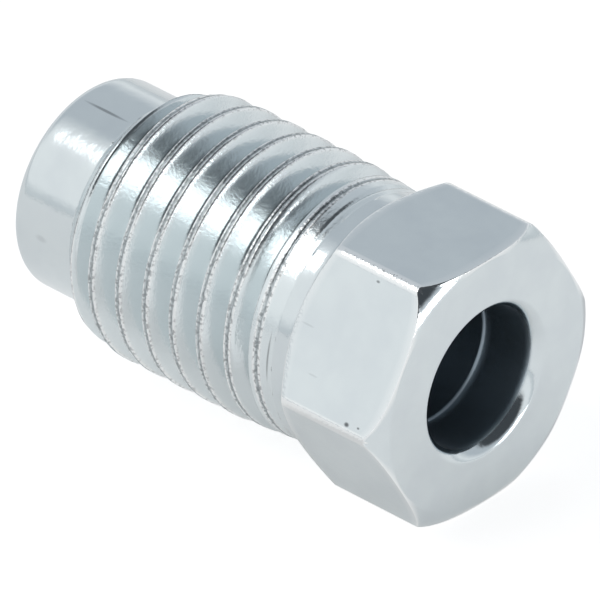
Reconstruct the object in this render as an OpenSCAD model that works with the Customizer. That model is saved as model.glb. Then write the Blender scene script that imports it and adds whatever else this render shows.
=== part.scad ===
// Hollow hex-headed nut for a metal fluid pipe, with an outside thread and a plain pilot.
// It lies on one flat of its hex, with the nose's end at x = 0. The pipe leaves through the head, along +X.

/* [Thread] */
// Outside diameter of the thread
thread_d = 9.8; // [9.6:0.05:10.2]
// Distance from one turn to the next
thread_pitch = 1.25; // [1:0.05:1.4]
// Angle between the two flanks of a groove
flank_angle = 60; // [55:1:62]
// Width of the flat crest of a full turn
crest_width = 0.24; // [0.14:0.01:0.28]
// Width of the rounded bottom of a groove
root_width = 0.13; // [0.1:0.01:0.2]
// How far the middle of the groove's bottom dips below its sides
root_dip = 0.03; // [0.01:0.01:0.05]
// Turn of the whole thread about the axis
thread_turn = 13.5; // [0:0.5:359.5]
// Angle of the lead-in cone, from the axis
lead_angle = 45; // [35:1:55]
// Diameter at which the lead-in cone ends and the first crests begin
lead_d = 9.3; // [8.2:0.05:9.5]
// Length over which the first crests rise to full height
crest_rise = 1.05; // [0.5:0.05:1.6]
// Length from the nose to where the last groove dies out
thread_end = 12.9; // [12:0.1:13.2]
// Length over which the last grooves get shallower
groove_runout = 1.6; // [1:0.1:2.4]
// Length over which the last crests fall to the shank
crest_runout = 2.8; // [2:0.1:4]

/* [Pilot and shank] */
// Diameter of the plain pilot at the nose
pilot_d = 7.8; // [7:0.05:8]
// Length of the plain pilot
pilot_len = 2.8; // [2:0.1:4]
// Radius of the pilot's front edge
pilot_edge = 0.5; // [0.2:0.05:0.8]
// Diameter of the plain shank between thread and head
shank_d = 9.3; // [9:0.05:9.5]
// Radius of the fillet where the shank meets the head
shank_fillet = 0.14; // [0.05:0.01:0.2]

/* [Head] */
// Size across the flats of the hex
hex_af = 9.75; // [9.7:0.05:12]
// Length of the hex head
hex_len = 4.9; // [4:0.1:8]
// Length from the nose to the back of the head
under_head = 13.6; // [13.4:0.1:16]
// Radius along the six long edges
hex_edge = 0.4; // [0.1:0.05:0.8]
// How far the flat circle under the head lies inside the flats
seat_inset = 0.075; // [0.02:0.005:0.1]
// Angle of the straight chamfer under the head
chamfer_angle = 38; // [20:1:50]
// How far the edge of the outer end face lies inside the flats
face_inset = 0.045; // [0.02:0.005:0.1]
// Angle at which the rounded chamfer leaves the outer end face
chamfer_start = 15; // [5:1:30]
// Angle at which the rounded chamfer reaches the hex's corners
chamfer_finish = 62; // [50:1:75]

/* [Bore] */
// Diameter of the bore that the pipe passes through
bore_d = 5; // [4.6:0.05:5.1]
// Diameter of the slightly wider entry in the head
entry_d = 5.2; // [5.15:0.05:5.6]
// Depth of the entry from the head's face
entry_depth = 2.4; // [1:0.1:4]
// Radius of the entry's rounded mouth
mouth_edge = 0.7; // [0.1:0.05:0.9]
// Angle at which the rounded mouth leaves the end face
mouth_start = 25; // [5:1:35]

/* [Hidden] */
zinc = "#c5ccd1";
// Facets round each turned surface
turn_facets = 80;
// Columns of facets round the thread
columns = 40;
// Facets along each small edge radius
edge_steps = 4;
// Length by which a cutter passes the face it opens
overcut = 1;
// How far the chamfers' own edges pass the hex's corners
corner_margin = 0.013;
total_len = under_head + hex_len;
crest_r = thread_d / 2;
shank_r = shank_d / 2;
pilot_r = pilot_d / 2;
flank_slope = 1 / tan(flank_angle / 2);
groove_depth = (thread_pitch - crest_width - root_width) / 2 * flank_slope;
root_r = crest_r - groove_depth;
lead_len = (lead_d / 2 - pilot_r) / tan(lead_angle);
crest_fall = thread_end - crest_runout;
corner_axis_r = (hex_af / 2 - hex_edge) / cos(30);
corner_r = corner_axis_r + hex_edge;
seat_r = hex_af / 2 - seat_inset;
face_r = hex_af / 2 - face_inset;
fillet_r = min(shank_fillet, seat_r - shank_r);

// Points of an arc about (cx, cy), from angle a0 to angle a1
function arc(cx, cy, r, a0, a1) = [
    for (i = [0:edge_steps])
        let (a = a0 + (a1 - a0) * i / edge_steps)
        [cx + r * cos(a), cy + r * sin(a)]
];

// Radius gained by the bottom of the groove in the run-out, past the shank at its end
function root_rise(z) =
    let (share = (z - thread_end + groove_runout) / groove_runout)
    (shank_r - root_r) * max(0, min(1.5, share));

// One pitch of the groove's section, as distance along the axis and height over its bottom.
// It starts at the sharp peak, which the turned blank then cuts back to the crest.
section = [
    [0, (thread_pitch - root_width) / 2 * flank_slope],
    [(thread_pitch - root_width) / 2, 0],
    [thread_pitch / 2, -root_dip],
    [(thread_pitch + root_width) / 2, 0]
];
section_rows = len(section);
thread_turns = ceil(thread_end / thread_pitch);
thread_rows = section_rows * thread_turns;

// Point in one row of the helical grid, which climbs one pitch in a turn
function thread_point(row, column) =
    let (
        step = section[row % section_rows],
        turn = 360 * column / columns,
        z = thread_pitch * (floor(row / section_rows) + column / columns) + step[0],
        r = root_r + step[1] + root_rise(z)
    )
    [r * cos(turn), r * sin(turn), z];

// Index of a point, where the column past the last is the first column one turn later
function at(row, column) =
    column < columns ? row * columns + column : (row + section_rows) * columns;

// The space inside a right-hand thread: a solid with a helical groove round it.
// Both its ends run out to points far past the blank.
module thread_form() {
    far = 20 * total_len;
    nose_tip = columns * (thread_rows + 1);
    head_tip = nose_tip + 1;
    points = [
        for (row = [0:thread_rows], column = [0:columns - 1])
            thread_point(row, column),
        [0, 0, -far],
        [0, 0, far]
    ];
    sides = [
        for (column = [0:columns - 1])
            let (last = column < columns - 1 ? thread_rows - 1 : thread_rows - section_rows - 1)
            for (row = [0:last])
                each [
                    [at(row, column), at(row + 1, column), at(row + 1, column + 1)],
                    [at(row, column), at(row + 1, column + 1), at(row, column + 1)]
                ]
    ];
    nose_loop = [
        for (column = [0:columns - 1]) at(0, column),
        for (row = [section_rows:-1:1]) at(row, 0)
    ];
    head_loop = [
        for (column = [0:columns - 1]) at(thread_rows, column),
        for (row = [thread_rows - 1:-1:thread_rows - section_rows]) at(row, columns - 1)
    ];
    nose_cap = [
        for (i = [0:len(nose_loop) - 1])
            [nose_tip, nose_loop[i], nose_loop[(i + 1) % len(nose_loop)]]
    ];
    head_cap = [
        for (i = [0:len(head_loop) - 1])
            [head_tip, head_loop[(i + 1) % len(head_loop)], head_loop[i]]
    ];
    polyhedron(points = points, faces = concat(sides, nose_cap, head_cap));
}

// Turned blank: pilot, lead-in cone, crests, run-out, shank and fillet, ending inside the head
module blank() {
    rotate_extrude($fn = turn_facets)
        polygon(concat(
            [[0, 0]],
            arc(pilot_r - pilot_edge, pilot_edge, pilot_edge, -90, 0),
            [
                [pilot_r, pilot_len],
                [lead_d / 2, pilot_len + lead_len],
                [crest_r, pilot_len + lead_len + crest_rise],
                [crest_r, crest_fall],
                [shank_r, thread_end]
            ],
            arc(shank_r + fillet_r, under_head - fillet_r, fillet_r, 180, 90),
            [
                [shank_r + fillet_r, under_head + hex_len / 2],
                [0, under_head + hex_len / 2]
            ]
        ));
}

// Hexagon with rounded corners and its flats square to the x axis
module hex_outline() {
    polygon([
        for (k = [0:5])
            let (a = 30 + 60 * k)
            each arc(corner_axis_r * cos(a), corner_axis_r * sin(a), hex_edge, a - 30, a + 30)
    ]);
}

// Hex head, with a cut chamfer underneath and a rounded one at its outer end
module head() {
    reach = corner_r + corner_margin;
    drop = (reach - seat_r) * tan(chamfer_angle);
    round_r = (reach - face_r) / (sin(chamfer_finish) - sin(chamfer_start));
    round_x = face_r - round_r * sin(chamfer_start);
    round_z = hex_len - round_r * cos(chamfer_start);
    translate([0, 0, under_head])
        intersection() {
            linear_extrude(hex_len)
                hex_outline();
            rotate_extrude($fn = turn_facets)
                polygon(concat(
                    [
                        [0, 0],
                        [seat_r, 0],
                        [reach, drop]
                    ],
                    arc(round_x, round_z, round_r, 90 - chamfer_finish, 90 - chamfer_start),
                    [[0, hex_len]]
                ));
        }
}

// Stepped bore with its rounded mouth, as a cutter
module bore() {
    mouth_r = entry_d / 2 + mouth_edge;
    mouth_z = total_len - mouth_edge * cos(mouth_start);
    translate([0, 0, -overcut])
        cylinder(d = bore_d, h = total_len + 2 * overcut, $fn = turn_facets);
    translate([0, 0, total_len - entry_depth])
        cylinder(d = entry_d, h = entry_depth + overcut, $fn = turn_facets);
    rotate_extrude($fn = turn_facets)
        polygon(concat(
            [[0, mouth_z]],
            arc(mouth_r, mouth_z, mouth_edge, 180, 90 + mouth_start),
            [
                [mouth_r - mouth_edge * sin(mouth_start), total_len + overcut],
                [0, total_len + overcut]
            ]
        ));
}

module tube_nut() {
    color(zinc)
        rotate([0, 90, 0])
            difference() {
                union() {
                    intersection() {
                        blank();
                        rotate([0, 0, -thread_turn])
                            thread_form();
                    }
                    head();
                }
                bore();
            }
}

tube_nut();
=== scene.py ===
import math

import bmesh
import bpy
from mathutils import Matrix, Vector


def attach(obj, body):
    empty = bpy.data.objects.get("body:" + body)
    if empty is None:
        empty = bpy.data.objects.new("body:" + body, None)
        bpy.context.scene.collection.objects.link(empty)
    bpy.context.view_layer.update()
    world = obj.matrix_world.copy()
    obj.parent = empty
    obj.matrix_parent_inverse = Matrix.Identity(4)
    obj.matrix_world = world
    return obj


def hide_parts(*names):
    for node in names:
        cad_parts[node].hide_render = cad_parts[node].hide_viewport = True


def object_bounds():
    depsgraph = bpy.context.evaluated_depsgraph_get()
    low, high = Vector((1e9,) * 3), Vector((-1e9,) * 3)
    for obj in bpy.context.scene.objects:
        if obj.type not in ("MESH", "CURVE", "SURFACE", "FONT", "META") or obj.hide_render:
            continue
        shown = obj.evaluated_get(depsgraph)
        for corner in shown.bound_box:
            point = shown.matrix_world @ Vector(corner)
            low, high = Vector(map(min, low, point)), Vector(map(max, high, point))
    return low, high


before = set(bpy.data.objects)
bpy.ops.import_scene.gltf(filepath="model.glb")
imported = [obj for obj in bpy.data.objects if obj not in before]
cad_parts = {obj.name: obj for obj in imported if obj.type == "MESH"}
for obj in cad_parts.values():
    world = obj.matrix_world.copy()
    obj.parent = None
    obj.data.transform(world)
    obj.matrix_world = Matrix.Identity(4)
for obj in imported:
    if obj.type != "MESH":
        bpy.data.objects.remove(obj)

solid_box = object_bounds()

# The view
# The nut is seen from the front right and a third of the way up, through a long lens
# from two thirds of a metre away, so its edges stay almost parallel.
MM = 0.001
aim = Vector((9.93, 0.0, -0.53)) * MM
distance = 681.6 * MM
azimuth = math.radians(-47.29)
elevation = math.radians(33.44)
frame_pixels = 600
focal_pixels = 20000

toward_camera = Vector((
    math.cos(elevation) * math.cos(azimuth),
    math.cos(elevation) * math.sin(azimuth),
    math.sin(elevation),
))
camera = bpy.data.objects.new("camera", bpy.data.cameras.new("camera"))
camera.data.sensor_width = 36
camera.data.lens = camera.data.sensor_width * focal_pixels / frame_pixels
camera.location = aim + distance * toward_camera
camera.rotation_euler = (-toward_camera).to_track_quat("-Z", "Y").to_euler()
bpy.context.collection.objects.link(camera)
bpy.context.scene.camera = camera
bpy.context.scene.view_settings.view_transform = "Standard"

# The turned blank
# One hexagon bar of free-cutting steel is drilled through for the pipe and turned down to a pilot,
# a thread blank and a shank. Its whole skin is one closed outline, carried round the bore.
pitch = 1.25
crest_radius = 4.9
crest_half_width = 0.12
root_half_width = 0.065
pilot_radius = 3.9
pilot_end = 2.8
nose_edge = 0.5
lead_radius = 4.65
lead_end = 3.55
crest_start = 4.6
crest_fall = 10.1
thread_end = 12.9
shank_radius = 4.65
under_head = 13.6
shank_fillet = 0.12
seat_radius = 4.8
seat_slope = math.tan(math.radians(38))
total_length = 18.5
flat_radius = 4.875
long_edge = 0.4
corner_reach = 5.58
face_radius = 4.83
chamfer_start = math.radians(15)
chamfer_finish = math.radians(62)
round_radius = (corner_reach - face_radius) / (math.sin(chamfer_finish) - math.sin(chamfer_start))
round_r = face_radius - round_radius * math.sin(chamfer_start)
round_x = total_length - round_radius * math.cos(chamfer_start)
mouth_edge = 0.7
mouth_start = math.radians(25)
entry_radius = 2.6
entry_floor = 16.1
bore_radius = 2.5
broken_edge = 0.04
wear_and_highlight_width = 0.07
long_edge_start = 5.51
long_edge_full = 5.54
columns_to_a_flat = 40
corner_crowding = 0.85


def steps(first, last, count):
    """Count values from first towards last, which itself is left to what follows."""
    return [first + (last - first) * i / count for i in range(count)]


def bend(centre_x, centre_r, radius, start, end, count):
    """Points (x, r) of a rounded edge, with its angles taken from the bar's own direction."""
    turns = steps(start, end, count)
    return [(centre_x + radius * math.cos(a), centre_r + radius * math.sin(a)) for a in turns]


def hex_radius(angle):
    """Distance from the axis to the hexagon with rounded corners."""
    off_corner = math.pi / 6 - abs((angle + math.pi / 6) % (math.pi / 3) - math.pi / 6)
    centre = (flat_radius - long_edge) / math.cos(math.pi / 6)
    tangent = math.atan2(long_edge / 2, centre + long_edge * math.cos(math.pi / 6))
    if off_corner > tangent:
        return flat_radius / math.cos(math.pi / 6 - off_corner)
    across = centre * math.sin(off_corner)
    return centre * math.cos(off_corner) + math.sqrt(long_edge ** 2 - across ** 2)


def blank_radius(x):
    """Radius of the turned blank before its thread is rolled: a cone, a slow rise and a slow fall."""
    places = [pilot_end, lead_end, crest_start, crest_fall, thread_end]
    radii = [pilot_radius, lead_radius, crest_radius, crest_radius, shank_radius]
    for i in range(4):
        if x <= places[i + 1]:
            share = (x - places[i]) / (places[i + 1] - places[i])
            return radii[i] + share * (radii[i + 1] - radii[i])
    return shank_radius


def thread_rows(turn):
    """Rows that climb with the thread, close together where its form bends, held to its two ends."""
    crest_side = 1.5 * crest_half_width
    root_side = pitch / 2 - 1.5 * root_half_width
    half = steps(0, crest_side, 5) + steps(crest_side, root_side, 5) + steps(root_side, pitch / 2, 2)
    rows = half + [pitch / 2] + [pitch - d for d in reversed(half[1:])]
    first = math.floor(pilot_end / pitch) - 2
    last = math.ceil(thread_end / pitch)
    places = [(whole + turn) * pitch + d for whole in range(first, last + 1) for d in rows]
    return [min(max(x, pilot_end), thread_end) for x in places]


def head_ends(reach):
    """Where a hex side at this distance from the axis meets the chamfers at its rear and its front."""
    meet = math.asin((reach - round_r) / round_radius)
    return under_head + (reach - seat_radius) * seat_slope, round_x + round_radius * math.cos(meet)


def outline(angle):
    """The closed section (x, r) through one wall of the nut, from the nose's bore over the outside."""
    reach = hex_radius(angle)
    rear, front = head_ends(reach)
    meet = math.acos((front - round_x) / round_radius)
    mouth_x = total_length - mouth_edge * math.cos(mouth_start)
    mouth_r = entry_radius + mouth_edge
    face_edge = mouth_r - mouth_edge * math.sin(mouth_start)
    edge = broken_edge
    points = [(0, r) for r in steps(bore_radius + edge, pilot_radius - nose_edge, 4)]
    points += bend(nose_edge, pilot_radius - nose_edge, nose_edge, math.pi, math.pi / 2, 10)
    points += [(x, pilot_radius) for x in steps(nose_edge, pilot_end - edge, 10)]
    points += [(pilot_end - edge, pilot_radius)]
    points += [(x, blank_radius(x)) for x in thread_rows(angle / math.tau + crest_turn)]
    points += [(x, shank_radius) for x in steps(thread_end + edge, under_head - shank_fillet, 5)]
    points += bend(under_head - shank_fillet, shank_radius + shank_fillet, shank_fillet, -math.pi / 2, 0, 5)
    points += [(under_head, shank_radius + shank_fillet), (under_head, seat_radius - edge / 2)]
    points += [(under_head + (r - seat_radius) * seat_slope, r)
               for r in steps(seat_radius + edge / 2, reach - edge / 2, 4)]
    points += [(rear - edge / 2 * seat_slope, reach - edge / 2)]
    points += [(x, reach) for x in steps(rear + edge, front - edge, 14)]
    points += [(front - edge, reach)]
    points += bend(round_x, round_r, round_radius, meet, chamfer_start, 9)
    points += [(total_length, face_radius)]
    points += [(total_length, r) for r in steps(face_radius - edge, face_edge + edge, 6)]
    points += [(total_length, face_edge + edge)]
    points += bend(mouth_x, mouth_r, mouth_edge, -mouth_start, -math.pi / 2, 12)
    points += [(x, entry_radius) for x in steps(mouth_x, entry_floor + edge, 6)]
    points += [(entry_floor + edge, entry_radius), (entry_floor, entry_radius - edge)]
    points += [(entry_floor - edge, bore_radius)]
    points += [(x, bore_radius) for x in steps(entry_floor - 2 * edge, edge, 10)]
    points += [(edge, bore_radius)]
    return points


crest_turn = 13.5 / 360
angles = [
    math.pi / 3 * (flat + i / columns_to_a_flat
                   + corner_crowding / math.tau * math.sin(math.tau * i / columns_to_a_flat))
    for flat in range(6) for i in range(columns_to_a_flat)
] + [math.tau]
corners = []
wear_and_highlight = []
for angle in angles:
    reach = hex_radius(angle)
    rear, front = head_ends(reach)
    on_edge = min(1, max(0, (reach - long_edge_start) / (long_edge_full - long_edge_start)))
    for x, r in outline(angle):
        corners.append((x, r * math.sin(angle), -r * math.cos(angle)))
        # Near the head's creases and along its long edges the skin is marked for wear: nicks in the
        # plating's relief and a painted highlight in its colour.
        off_edge = min(abs(x - rear), abs(x - front))
        on_long_edge = on_edge if r > long_edge_start else 0
        wear_and_highlight.append(max(on_long_edge, 1 - off_edge / wear_and_highlight_width) if r > seat_radius else 0)
rows = len(corners) // len(angles)
faces = [
    (c * rows + i, (c + 1) * rows + i, (c + 1) * rows + (i + 1) % rows, c * rows + (i + 1) % rows)
    for c in range(len(angles) - 1) for i in range(rows)
]
blank_mesh = bpy.data.meshes.new("blank")
blank_mesh.from_pydata(corners, [], faces)
blank_mesh.attributes.new("wear_and_highlight", "FLOAT", "POINT").data.foreach_set("value", wear_and_highlight)
blank = bpy.data.objects.new("blank", blank_mesh)
bpy.context.collection.objects.link(blank)

# The rolled thread
# Flat dies roll a right-hand thread into the blank. They press the grooves in and squeeze the steel up
# into the crests, whose two lips meet in a fine seam. The grooves run out into the shank.
roll = bpy.data.node_groups.new("rolled_thread", "GeometryNodeTree")
roll.is_modifier = True
thread_sizes = {
    "Pitch": pitch,
    "Crest Turn": crest_turn,
    "Crest Half Width": crest_half_width,
    "Root Half Width": root_half_width,
    "Root Radius": 4.138,
    "Root Dip": 0.03,
    "Flank Slope": math.tan(math.radians(60)),
    "Edge Softness": 0.05,
    "Crest Fade": 0.05,
    "Lip Half Width": 0.02,
    "Lip Reach": 0.07,
    "Seam Depth": 0.035,
    "Seam Half Width": 0.05,
    "Crest Ripple": 0.02,
    "Ripples per Millimetre": 3.0,
    "Thread Start": pilot_end,
    "Thread End": thread_end,
    "Groove Runout": 1.6,
    "Runout Overshoot": 1.3,
    "Shank Radius": shank_radius,
    "Bore Limit": entry_radius + 0.08,
    "Bore Fade": 0.06,
    "Join Distance": 0.0005,
}
roll.interface.new_socket("Geometry", in_out="INPUT", socket_type="NodeSocketGeometry")
roll.interface.new_socket("Geometry", in_out="OUTPUT", socket_type="NodeSocketGeometry")
size_sockets = {}
for name, value in thread_sizes.items():
    socket = roll.interface.new_socket(name, in_out="INPUT", socket_type="NodeSocketFloat")
    socket.default_value = value
    size_sockets[name] = socket.identifier
plating_socket = roll.interface.new_socket("Plating", in_out="INPUT", socket_type="NodeSocketMaterial")


def add(tree, kind, inputs=(), **settings):
    """Adds a node. An input is a value, a node's output, or a node, which gives its first output."""
    node = tree.nodes.new(kind)
    for name, value in settings.items():
        setattr(node, name, value)
    named = inputs.items() if isinstance(inputs, dict) else enumerate(inputs)
    for key, value in named:
        if isinstance(value, bpy.types.Node):
            value = value.outputs[0]
        if isinstance(value, bpy.types.NodeSocket):
            tree.links.new(value, node.inputs[key])
        else:
            node.inputs[key].default_value = value
    return node


MATH = "ShaderNodeMath"
RANGE = "ShaderNodeMapRange"
given = add(roll, "NodeGroupInput").outputs
place = add(roll, "ShaderNodeSeparateXYZ", [add(roll, "GeometryNodeInputPosition")]).outputs
across = add(roll, "ShaderNodeCombineXYZ", [0, place["Y"], place["Z"]])
radius = add(roll, "ShaderNodeVectorMath", [across], operation="LENGTH").outputs["Value"]
below = add(roll, MATH, [place["Z"], -1], operation="MULTIPLY")
round_axis = add(roll, MATH, [place["Y"], below], operation="ARCTAN2")
part_turn = add(roll, MATH, [round_axis, math.tau], operation="DIVIDE")
turn = add(roll, MATH, [part_turn, given["Crest Turn"]], operation="ADD")
pitches = add(roll, MATH, [place["X"], given["Pitch"]], operation="DIVIDE")
turns = add(roll, MATH, [pitches, turn], operation="SUBTRACT")
nearest = add(roll, MATH, [turns, 0.5], operation="PINGPONG")
off_crest = add(roll, MATH, [nearest, given["Pitch"]], operation="MULTIPLY")
half_pitch = add(roll, MATH, [given["Pitch"], 0.5], operation="MULTIPLY")
flank_foot = add(roll, MATH, [half_pitch, given["Root Half Width"]], operation="SUBTRACT")
off_foot = add(roll, MATH, [flank_foot, off_crest], operation="SUBTRACT")
flank = add(roll, MATH, [off_foot, given["Flank Slope"]], operation="MULTIPLY")
dip = add(roll, MATH, [given["Root Dip"], -1], operation="MULTIPLY")
height = add(roll, MATH, [flank, dip, given["Edge Softness"]], operation="SMOOTH_MAX")
runout_start = add(roll, MATH, [given["Thread End"], given["Groove Runout"]], operation="SUBTRACT")
shank_rise = add(roll, MATH, [given["Shank Radius"], given["Root Radius"]], operation="SUBTRACT")
full_rise = add(roll, MATH, [shank_rise, given["Runout Overshoot"]], operation="MULTIPLY")
rise = add(roll, RANGE, {
    "Value": place["X"],
    "From Min": runout_start,
    "From Max": given["Thread End"],
    "To Min": 0,
    "To Max": full_rise,
})
full_groove = add(roll, MATH, [given["Root Radius"], height], operation="ADD")
groove = add(roll, MATH, [full_groove, rise], operation="ADD")
rolled = add(roll, MATH, [radius, groove, given["Edge Softness"]], operation="SMOOTH_MIN")
on_crest = add(roll, MATH, [groove, radius], operation="GREATER_THAN")
off_seam = add(roll, MATH, [off_crest, given["Seam Half Width"]], operation="DIVIDE")
seam = add(roll, MATH, [1, off_seam], operation="SUBTRACT")
seam_width = add(roll, MATH, [seam, 0], operation="MAXIMUM")
seam_share = add(roll, MATH, [on_crest, seam_width], operation="MULTIPLY")
crest_limit = add(roll, MATH, [given["Crest Half Width"], given["Crest Fade"]], operation="ADD")
narrow = add(roll, RANGE, {
    "Value": off_crest,
    "From Min": crest_limit,
    "From Max": given["Crest Half Width"],
})
# The crest lips are marked for a painted highlight in the plating.
off_lip = add(roll, MATH, [off_crest, given["Crest Half Width"]], operation="SUBTRACT")
lip_gap = add(roll, MATH, [off_lip], operation="ABSOLUTE")
lip_highlight = add(roll, RANGE, {
    "Value": lip_gap, "From Min": given["Lip Reach"], "From Max": given["Lip Half Width"],
})
seam_depth = add(roll, MATH, [seam_share, given["Seam Depth"]], operation="MULTIPLY")
ripple = add(roll, "ShaderNodeTexNoise", {
    "Scale": given["Ripples per Millimetre"], "Detail": 3.0,
}, noise_dimensions="3D")
ripple_depth = add(roll, MATH, [ripple, given["Crest Ripple"]], operation="MULTIPLY")
crest_depth = add(roll, MATH, [seam_depth, ripple_depth], operation="ADD")
pressed = add(roll, MATH, [on_crest, crest_depth], operation="MULTIPLY")
finished = add(roll, MATH, [rolled, pressed], operation="SUBTRACT")
stretch = add(roll, MATH, [finished, radius], operation="DIVIDE")
past_start = add(roll, MATH, [place["X"], given["Thread Start"]], operation="GREATER_THAN")
before_end = add(roll, MATH, [place["X"], given["Thread End"]], operation="LESS_THAN")
in_length = add(roll, MATH, [past_start, before_end], operation="MULTIPLY")
outside = add(roll, MATH, [radius, given["Bore Limit"]], operation="GREATER_THAN")
in_thread = add(roll, MATH, [in_length, outside], operation="MULTIPLY")
moved_y = add(roll, MATH, [place["Y"], stretch], operation="MULTIPLY")
moved_z = add(roll, MATH, [place["Z"], stretch], operation="MULTIPLY")
moved = add(roll, "ShaderNodeCombineXYZ", [place["X"], moved_y, moved_z])
# The bore wall is marked for a rougher finish and painted shade in the plating.
bore_wall = add(roll, MATH, [given["Bore Limit"], given["Bore Fade"]], operation="SUBTRACT")
in_bore = add(roll, RANGE, {"Value": radius, "From Min": given["Bore Limit"], "From Max": bore_wall})
marked = given["Geometry"]
for name, zone in [("thread", 1.0), ("crest", narrow), ("lip_highlight", lip_highlight), ("seam", seam_share)]:
    share = add(roll, MATH, [zone, in_thread], operation="MULTIPLY")
    marked = add(roll, "GeometryNodeStoreNamedAttribute", {
        "Geometry": marked, "Name": name, "Value": share,
    }, data_type="FLOAT", domain="POINT")
marked = add(roll, "GeometryNodeStoreNamedAttribute", {
    "Geometry": marked, "Name": "bore", "Value": in_bore,
}, data_type="FLOAT", domain="POINT")
threaded = add(roll, "GeometryNodeSetPosition", {
    "Geometry": marked, "Selection": in_thread, "Position": moved,
})
joined = add(roll, "GeometryNodeMergeByDistance", {
    "Geometry": threaded, "Distance": given["Join Distance"],
})
real = add(roll, "GeometryNodeRealizeInstances", [joined])
smooth = add(roll, "GeometryNodeSetShadeSmooth", {"Geometry": real, "Shade Smooth": True})
plated = add(roll, "GeometryNodeSetMaterial", {"Geometry": smooth, "Material": given["Plating"]})
add(roll, "NodeGroupOutput", [plated])

# The plating
# Bright zinc over bare steel: a thin, slightly blue metal skin with a soft mottling. A faint grain spreads
# its highlights, the rolled crests are rough and speckled with a painted highlight on their lips, the sharp
# edges carry nicks under a painted highlight, and the bore is rougher and painted darker as shade.


def linear(colour):
    """An sRGB hex colour as linear red, green and blue."""
    channels = [int(colour[i:i + 2], 16) / 255 for i in (1, 3, 5)]
    values = [c / 12.92 if c <= 0.04045 else ((c + 0.055) / 1.055) ** 2.4 for c in channels]
    return (*values, 1)


zinc = bpy.data.materials.new("bright_zinc_plate")
zinc.use_nodes = True
nodes = zinc.node_tree
nodes.nodes.clear()
# Sizes in millimetres. The real crystals of the zinc are far finer, so the grain and the beads are drawn
# as coarse as they need to be to show.
mottle_size = 1.6
swell_size = 0.5
grain_size = 0.12
bead_size = 0.12
streak_width = 0.04
streak_length = 0.2
relief_depth = 0.02
# Shares and strengths. The roughness of the thread, the crests and the bore is added to the plate's own.
pattern_roughness = 0.55
relief_strength = 0.3
grain_height = 0.25
pebble_height = 2.6
seam_darkness = 0.6
streak_darkness = 0.7
bead_darkness = 0.65
mark_core = 0.4
smoothest_plate = 0.1
dullest_plate = 0.13
thread_roughness = 0.1
crest_roughness = 0.08
bore_roughness = 0.3
where = add(nodes, "ShaderNodeTexCoord").outputs["Object"]
streak_stretch = (streak_length / streak_width, 1, 1)
round_the_bar = add(nodes, "ShaderNodeVectorMath", [where, streak_stretch], operation="MULTIPLY")
mottle, swell, grain, beads, streaks = [
    add(nodes, "ShaderNodeTexNoise", {
        "Vector": vector, "Scale": 1 / (size * MM), "Detail": detail,
        "Roughness": pattern_roughness,
    })
    for size, detail, vector in [
        (mottle_size, 3.0, where),
        (swell_size, 2.0, where),
        (grain_size, 2.0, where),
        (bead_size, 1.0, where),
        (streak_length, 2.0, round_the_bar),
    ]
]
thread, crest, lip_highlight, seam_line, wear_and_highlight_edge, bore = [
    add(nodes, "ShaderNodeAttribute", attribute_name=name).outputs["Fac"]
    for name in ("thread", "crest", "lip_highlight", "seam", "wear_and_highlight", "bore")
]
# Marks of use and two painted dark lines: millimetres from the nose, degrees round the bar, half length,
# half width and darkness.
marks_and_painted_lines = [
    (17.1, 266.9, 0.13, 0.10, 0.8),
    (17.6, 266.3, 0.07, 0.05, 0.7),
    (16.3, 213.7, 0.10, 0.06, 0.6),
    (14.2, 240.0, 0.35, 0.05, 0.12),
    (15.1, 257.0, 0.28, 0.05, 0.10),
    # Painted shade: a dark line where the last groove runs out into the shank.
    (12.7, 262.5, 0.05, 1.1, 0.5),
    # Painted reflection: a dark line along the pilot.
    (1.6, 190.9, 1.1, 0.08, 0.5),
    (1.5, 268.8, 0.3, 0.16, 0.12),
]
mark_and_line_darkness = 0.0
for along, degrees, half_length, half_width, depth in marks_and_painted_lines:
    side = math.radians(degrees)
    if along > under_head:
        mark_radius = hex_radius(side)
    else:
        mark_radius = pilot_radius if along < pilot_end else shank_radius
    middle = Vector((along, mark_radius * math.sin(side), -mark_radius * math.cos(side))) * MM
    off_mark = add(nodes, "ShaderNodeVectorMath", [where, middle], operation="SUBTRACT")
    mark_size = (1 / (half_length * MM), 1 / (half_width * MM), 1 / (half_width * MM))
    shrunk = add(nodes, "ShaderNodeVectorMath", [off_mark, mark_size], operation="MULTIPLY")
    away = add(nodes, "ShaderNodeVectorMath", [shrunk], operation="LENGTH").outputs["Value"]
    inside = add(nodes, RANGE, {
        "Value": away, "From Min": 1.0, "From Max": mark_core, "To Min": 0.0, "To Max": depth,
    })
    mark_and_line_darkness = add(nodes, MATH, [mark_and_line_darkness, inside], operation="MAXIMUM")
mottled = add(nodes, RANGE, {"Value": mottle, "From Min": 0.35, "From Max": 0.65})
streaked = add(nodes, RANGE, {
    "Value": streaks, "From Min": 0.42, "From Max": 0.58, "To Max": streak_darkness,
})
scuffed = add(nodes, MATH, [crest, streaked], operation="MULTIPLY")
dark_beads = add(nodes, RANGE, {
    "Value": beads, "From Min": 0.5, "From Max": 0.62, "To Max": bead_darkness,
})
beaded = add(nodes, MATH, [crest, dark_beads], operation="MULTIPLY")
seamed = add(nodes, MATH, [seam_line, seam_darkness], operation="MULTIPLY")
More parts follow.
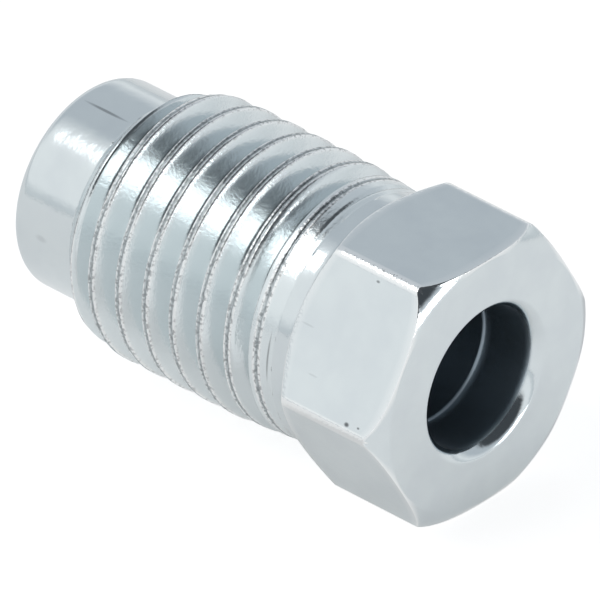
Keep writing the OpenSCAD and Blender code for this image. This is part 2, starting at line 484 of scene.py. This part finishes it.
# The colour sockets of a Mix node share their names with others, so they go by their numbers.
mix_first, mix_second, mix_result = 6, 7, 2
colour = linear("#d8dfe2")
for share, layer in [
    (mottled, "#dde4e6"),
    (thread, "#e1e8ea"),
    # Painted highlight along the worn edges.
    (wear_and_highlight_edge, "#f6f8f8"),
    (scuffed, "#a2a8ab"),
    # Painted highlight along the crest lips.
    (lip_highlight, "#f8fafa"),
    (seamed, "#858b8f"),
    (beaded, "#848a8d"),
    # Painted shade in the bore.
    (bore, "#99a5ae"),
    (mark_and_line_darkness, "#33373a"),
]:
    mixed = add(nodes, "ShaderNodeMix", {
        "Factor": share, mix_first: colour, mix_second: linear(layer),
    }, data_type="RGBA")
    colour = mixed.outputs[mix_result]
rough = add(nodes, RANGE, {
    "Value": mottle, "From Min": 0.3, "From Max": 0.7,
    "To Min": smoothest_plate, "To Max": dullest_plate,
})
for zone, more in [(thread, thread_roughness), (crest, crest_roughness), (bore, bore_roughness)]:
    added = add(nodes, MATH, [zone, more], operation="MULTIPLY")
    rough = add(nodes, MATH, [rough, added], operation="ADD")
fine = add(nodes, MATH, [grain, grain_height], operation="MULTIPLY")
skin_relief = add(nodes, MATH, [fine, swell], operation="ADD")
pebbles = add(nodes, MATH, [beads, pebble_height], operation="MULTIPLY")
crest_pebbles = add(nodes, MATH, [crest, pebbles], operation="MULTIPLY")
thread_grain = add(nodes, MATH, [thread, grain], operation="MULTIPLY")
nicks = add(nodes, MATH, [wear_and_highlight_edge, pebbles], operation="MULTIPLY")
pebbled = add(nodes, MATH, [crest_pebbles, nicks], operation="ADD")
rolled_relief = add(nodes, MATH, [pebbled, thread_grain], operation="ADD")
relief = add(nodes, MATH, [skin_relief, rolled_relief], operation="ADD")
bump = add(nodes, "ShaderNodeBump", {
    "Strength": relief_strength, "Distance": relief_depth * MM, "Height": relief,
})
metal = add(nodes, "ShaderNodeBsdfPrincipled", {
    "Base Color": colour, "Metallic": 1.0, "Roughness": rough, "Normal": bump,
})
add(nodes, "ShaderNodeOutputMaterial", [metal])

# The finished nut
# The thread is rolled into the blank and the skin is closed. Then the nut is brought from millimetres
# to metres, its faces are turned outwards, and it takes the place of the plain solid.
rolling = blank.modifiers.new("rolled_thread", "NODES")
rolling.node_group = roll
for name, value in thread_sizes.items():
    rolling[size_sockets[name]] = value
rolling[plating_socket.identifier] = zinc
bpy.context.view_layer.update()
nut_mesh = bpy.data.meshes.new_from_object(blank.evaluated_get(bpy.context.evaluated_depsgraph_get()))
bpy.data.objects.remove(blank)
nut_mesh.transform(Matrix.Scale(MM, 4))
skin = bmesh.new()
skin.from_mesh(nut_mesh)
bmesh.ops.recalc_face_normals(skin, faces=skin.faces)
skin.to_mesh(nut_mesh)
skin.free()
nut = bpy.data.objects.new("zinc_tube_nut", nut_mesh)
bpy.context.collection.objects.link(nut)
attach(nut, "root")
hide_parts("tube_nut")

# The table and the light
# A wide white sheet lies under the nut. Mirrored in the metal, its glow carries painted shade near the head
# and painted light beyond it.
# A round lamp hangs above and a flat one stands beyond the head, in a pale room whose far wall, lowest
# band and ceiling are darker. The camera sees the sheet as plain white.
table_height = solid_box[0][2]
table_size = 4.0
sheet_glow = 0.77
# Where the sheet's mirrored glow is painted darker as shade, in millimetres from the nose, and the share of
# its glow that is left there.
shade_middle = 14.5
shade_half_length = 2.5
shade_reach = 5.5
shaded_share = 0.42
open_share = 0.6
# Where its mirrored glow is painted lighter beyond the head, in millimetres from the nose, and the share
# added there.
front_start = 18.0
front_full = 20.0
front_share = 0.1
table_mesh = bpy.data.meshes.new("white_table")
half = table_size / 2
table_mesh.from_pydata(
    [(-half, -half, table_height), (half, -half, table_height),
     (half, half, table_height), (-half, half, table_height)],
    [], [(0, 1, 2, 3)])
table = bpy.data.objects.new("white_table", table_mesh)
bpy.context.collection.objects.link(table)
paper = bpy.data.materials.new("white_paper")
paper.use_nodes = True
nodes = paper.node_tree
nodes.nodes.clear()
rays = add(nodes, "ShaderNodeLightPath").outputs
sheet_place = add(nodes, "ShaderNodeTexCoord").outputs["Object"]
on_sheet = add(nodes, "ShaderNodeSeparateXYZ", [sheet_place]).outputs
off_shade = add(nodes, MATH, [on_sheet["X"], shade_middle * MM], operation="SUBTRACT")
shade_gap = add(nodes, MATH, [off_shade], operation="ABSOLUTE")
shaded = add(nodes, RANGE, {
    "Value": shade_gap, "From Min": shade_half_length * MM, "From Max": shade_reach * MM,
    "To Min": shaded_share, "To Max": open_share,
})
painted_light_beyond_head = add(nodes, RANGE, {
    "Value": on_sheet["X"], "From Min": front_start * MM, "From Max": front_full * MM,
    "To Max": front_share,
})
sheet_share = add(nodes, MATH, [shaded, painted_light_beyond_head], operation="ADD")
mirrored = add(nodes, MATH, [rays["Is Glossy Ray"], rays["Is Transmission Ray"]], operation="MAXIMUM")
in_metal = add(nodes, MATH, [mirrored, sheet_share], operation="MULTIPLY")
seen = add(nodes, MATH, [rays["Is Camera Ray"], in_metal], operation="MAXIMUM")
strength = add(nodes, MATH, [seen, sheet_glow], operation="MULTIPLY")
sheet = add(nodes, "ShaderNodeBsdfDiffuse", {"Color": linear("#c8c8c8")})
glow = add(nodes, "ShaderNodeEmission", {"Color": linear("#ffffff"), "Strength": strength})
add(nodes, "ShaderNodeOutputMaterial", [add(nodes, "ShaderNodeAddShader", [sheet, glow])])
table_mesh.materials.append(paper)

world = bpy.data.worlds.new("pale_room")
bpy.context.scene.world = world
world.use_nodes = True
nodes = world.node_tree
nodes.nodes.clear()
ceiling_middle = Vector((0.3, -0.1, 0.95)).normalized()
direction = add(nodes, "ShaderNodeTexCoord").outputs["Generated"]
overhead = add(nodes, "ShaderNodeVectorMath", [direction, ceiling_middle], operation="DOT_PRODUCT")
heading = add(nodes, "ShaderNodeSeparateXYZ", [direction]).outputs
far_side = add(nodes, RANGE, {"Value": heading["Y"], "From Min": -0.25, "From Max": 0.05})
above = add(nodes, RANGE, {"Value": heading["Z"], "From Min": 0.15, "From Max": 0.4})
far_wall = add(nodes, MATH, [far_side, above], operation="MULTIPLY")
skirting = add(nodes, RANGE, {"Value": heading["Z"], "From Min": 0.18, "From Max": 0.06})
ceiling = add(nodes, RANGE, {
    "Value": overhead.outputs["Value"], "From Min": 0.62, "From Max": 0.77,
}, interpolation_type="SMOOTHSTEP")
room = linear("#f8fafb")
for share, layer in [(skirting, "#d6dbde"), (far_wall, "#c6ccd2"), (ceiling, "#484c50")]:
    mixed = add(nodes, "ShaderNodeMix", {
        "Factor": share, mix_first: room, mix_second: linear(layer),
    }, data_type="RGBA")
    room = mixed.outputs[mix_result]
add(nodes, "ShaderNodeOutputWorld", [add(nodes, "ShaderNodeBackground", [room, 1.0])])

lamp_distance = 0.35


def soft_lamp(name, shape, direction, size, height, power):
    """A soft lamp that faces the nut from one direction. The camera doesn't see it."""
    lamp = bpy.data.objects.new(name, bpy.data.lights.new(name, "AREA"))
    lamp.data.shape = shape
    lamp.data.size = size
    lamp.data.size_y = height
    lamp.data.energy = power
    toward = Vector(direction).normalized()
    lamp.location = aim + lamp_distance * toward
    lamp.rotation_euler = toward.to_track_quat("Z", "Y").to_euler()
    lamp.visible_camera = False
    bpy.context.collection.objects.link(lamp)


soft_lamp("top_lamp", "DISK", direction=(-0.33, -0.36, 0.87), size=0.2, height=0.2, power=0.22)
soft_lamp("side_lamp", "RECTANGLE", direction=(0.95, 0.22, 0.16), size=0.17, height=0.11, power=0.15)
